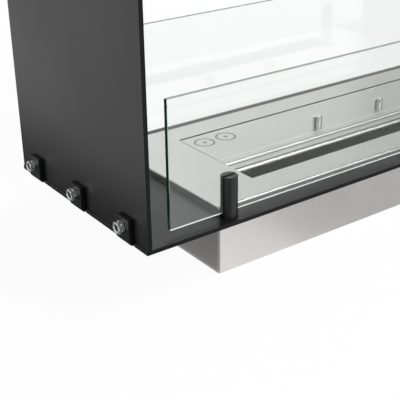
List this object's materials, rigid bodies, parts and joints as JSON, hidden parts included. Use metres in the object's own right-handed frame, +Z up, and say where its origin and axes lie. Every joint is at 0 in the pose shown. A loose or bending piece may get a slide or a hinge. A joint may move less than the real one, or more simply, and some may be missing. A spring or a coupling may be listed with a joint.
{
  "type": "bioethanol fireplace",
  "caption": "Built-in see-through bioethanol fireplace: open steel frame, glass panes in slotted posts, and a drop-in stainless burner with a sliding shutter.",
  "frame": {"origin": "middle of the tank's underside, the lowest face", "axes": "+X along the length, -Y towards the front, +Z up"},
  "size_m": [0.696, 0.225, 0.463],
  "materials": {
    "black_powder_coat": "fine satin black powder coat",
    "zinc_plated_steel": "bright zinc plating",
    "clear_glass": "clear toughened glass with polished green edges",
    "brushed_stainless": "brushed stainless sheet, grain along the length",
    "polished_stainless": "turned and polished stainless",
    "ceramic_wool": "white ceramic fibre"
  },
  "bodies": {
    "frame": {"bottom_plate": "black_powder_coat", "top_plate": "black_powder_coat", "left_side_panel": "black_powder_coat", "right_side_panel": "black_powder_coat", "left_bottom_studs": "black_powder_coat", "left_bottom_clamp_nuts": "zinc_plated_steel", "left_bottom_lock_nuts": "zinc_plated_steel", "left_top_studs": "black_powder_coat", "left_top_clamp_nuts": "zinc_plated_steel", "left_top_lock_nuts": "zinc_plated_steel", "right_bottom_studs": "black_powder_coat", "right_bottom_clamp_nuts": "zinc_plated_steel", "right_bottom_lock_nuts": "zinc_plated_steel", "right_top_studs": "black_powder_coat", "right_top_clamp_nuts": "zinc_plated_steel", "right_top_lock_nuts": "zinc_plated_steel", "post_screws": "zinc_plated_steel", "front_left_post": "black_powder_coat", "front_right_post": "black_powder_coat", "rear_left_post": "black_powder_coat", "rear_right_post": "black_powder_coat"},
    "front_glass": {"front_glass": "clear_glass"},
    "rear_glass": {"rear_glass": "clear_glass"},
    "burner": {"burner_top": "brushed_stainless", "burner_tank": "brushed_stainless", "left_slide_rail": "brushed_stainless", "right_slide_rail": "brushed_stainless", "rear_strip": "brushed_stainless", "shutter_shelf": "brushed_stainless", "wool_retainer": "brushed_stainless", "absorber_wool": "ceramic_wool"},
    "shutter": {"shutter": "brushed_stainless", "left_knob": "polished_stainless", "right_knob": "polished_stainless", "knob_washers": "zinc_plated_steel", "knob_screws": "zinc_plated_steel"}
  },
  "joints": [
    {"name": "front_glass_lift", "type": "slide", "parent": "frame", "child": "front_glass", "axis": [0, 0, 1], "range_m": [0, 0.04]},
    {"name": "rear_glass_lift", "type": "slide", "parent": "frame", "child": "rear_glass", "axis": [0, 0, 1], "range_m": [0, 0.04]},
    {"name": "burner_lift", "type": "slide", "parent": "frame", "child": "burner", "axis": [0, 0, 1], "range_m": [0, 0.19]},
    {"name": "shutter_slide", "type": "slide", "parent": "burner", "child": "shutter", "axis": [0, -1, 0], "range_m": [0, 0.0275]}
  ]
}
